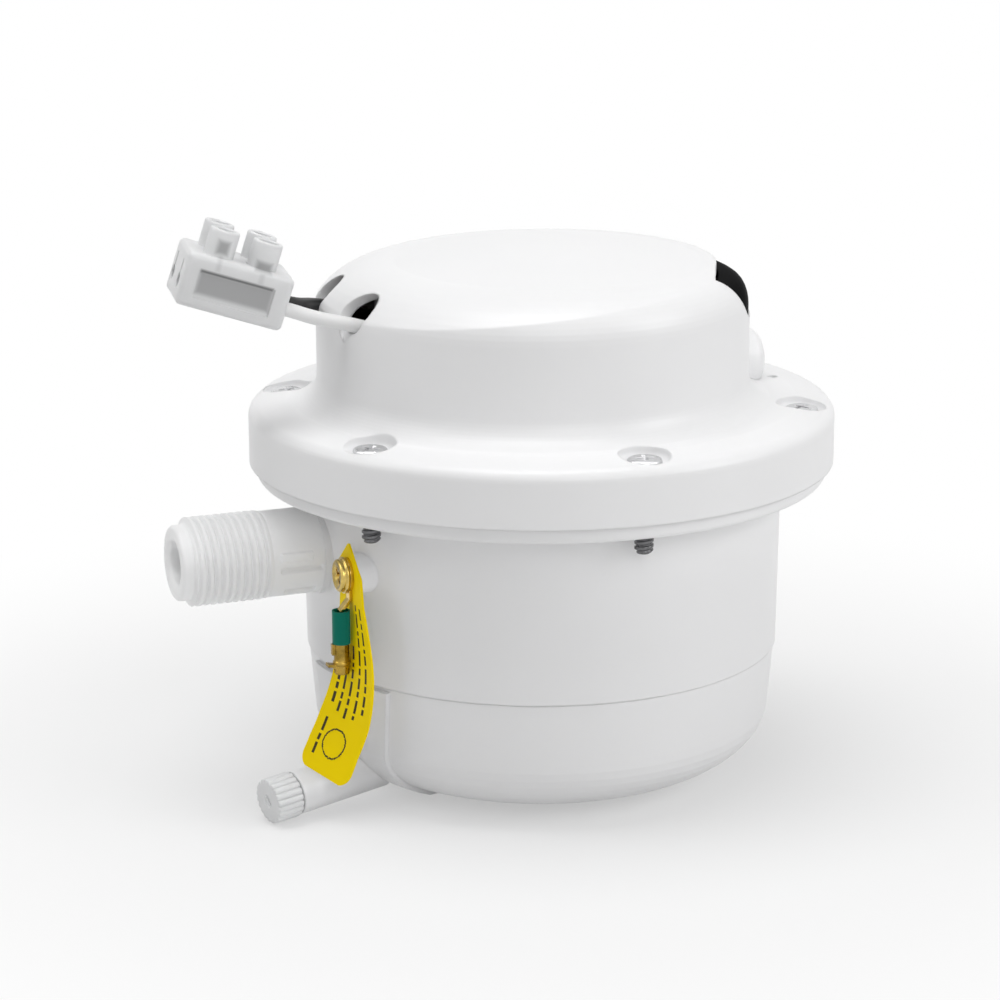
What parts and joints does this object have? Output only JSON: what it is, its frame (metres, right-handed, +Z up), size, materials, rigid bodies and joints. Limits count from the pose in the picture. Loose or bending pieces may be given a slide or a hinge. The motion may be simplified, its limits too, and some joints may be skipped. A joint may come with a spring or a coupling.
{
  "type": "instantaneous electric water heater",
  "caption": "Compact in-line electric shower water heater: flanged white vessel under a domed cover, side inlet, capped outlet spigot and pigtail terminal block.",
  "frame": {"origin": "centre of the flat spray face at the bottom", "axes": "+Z up; -X out along the inlet, away from the selector; +Y completes a right-handed frame"},
  "size_m": [0.1619, 0.14, 0.1398],
  "materials": {
    "white_shell": "glossy",
    "white_cover": "glossy",
    "natural_plastic": "semi-gloss, translucent",
    "spray_plastic": "satin",
    "cap_plastic": "satin",
    "black_gloss": "glossy",
    "black_rubber": "matt",
    "inner_plastic": "matt",
    "phenolic": "matt",
    "mica": "matt",
    "screw_steel": "zinc plated",
    "coil_wire": "drawn wire",
    "brass": "bright",
    "green_sleeve": "satin",
    "yellow_tag": "satin film",
    "white_insulation": "satin",
    "black_insulation": "satin",
    "block_plastic": "satin, translucent"
  },
  "bodies": {
    "root": {"vessel": "white_shell", "outlet_bowl": "white_shell", "spray_plate": "spray_plastic", "bowl_seal": "black_rubber", "inlet_nipple": "natural_plastic", "inlet_seal": "black_rubber", "inlet_filter": "inner_plastic", "cover": "white_cover", "flange_screws": "screw_steel", "diaphragm": "black_rubber", "chamber_lid": "inner_plastic", "fixed_contacts": "brass", "contact_base": "phenolic", "base_screws": "screw_steel", "supply_terminals": "brass", "selector_clip": "screw_steel", "element_support": "mica", "heating_coil": "coil_wire", "element_posts": "brass", "post_nuts": "brass", "earth_screw": "brass", "earth_lug": "brass", "earth_sleeve": "green_sleeve", "earth_tag": "yellow_tag", "lead_white": "white_insulation", "lead_black": "black_insulation", "terminal_block": "block_plastic", "terminal_inserts": "screw_steel", "terminal_screws": "screw_steel"},
    "plunger": {"plunger": "inner_plastic", "contact_bridge": "brass", "return_spring": "screw_steel"},
    "selector": {"selector": "black_gloss"},
    "spigot_washer": {"spigot_washer": "black_rubber"},
    "spigot_cap": {"spigot_cap": "cap_plastic"}
  },
  "joints": [
    {"name": "selector_turn", "type": "hinge", "parent": "root", "child": "selector", "pos_m": [-0.0022, 0, 0.112], "axis": [0, 0, 1], "range_deg": [0, 18]},
    {"name": "plunger_lift", "type": "slide", "parent": "root", "child": "plunger", "axis": [0, 0, 1], "range_m": [0, 0.0025], "stiffness_N_per_m": 400, "springref_m": -0.002, "deforming": ["return_spring"]},
    {"name": "cap_advance", "type": "slide", "parent": "root", "child": "spigot_washer", "axis": [-0.9653, -0.2461, -0.0872], "range_m": [0, 0.0045]},
    {"name": "cap_unscrew", "type": "hinge", "parent": "spigot_washer", "child": "spigot_cap", "pos_m": [-0.06938, -0.01768, 0.0064], "axis": [-0.9653, -0.2461, -0.0872], "range_deg": [0, 1080]}
  ],
  "couplings": [
    {"joint": "cap_unscrew", "follows": "cap_advance", "rad_per_m": 4188.8}
  ]
}
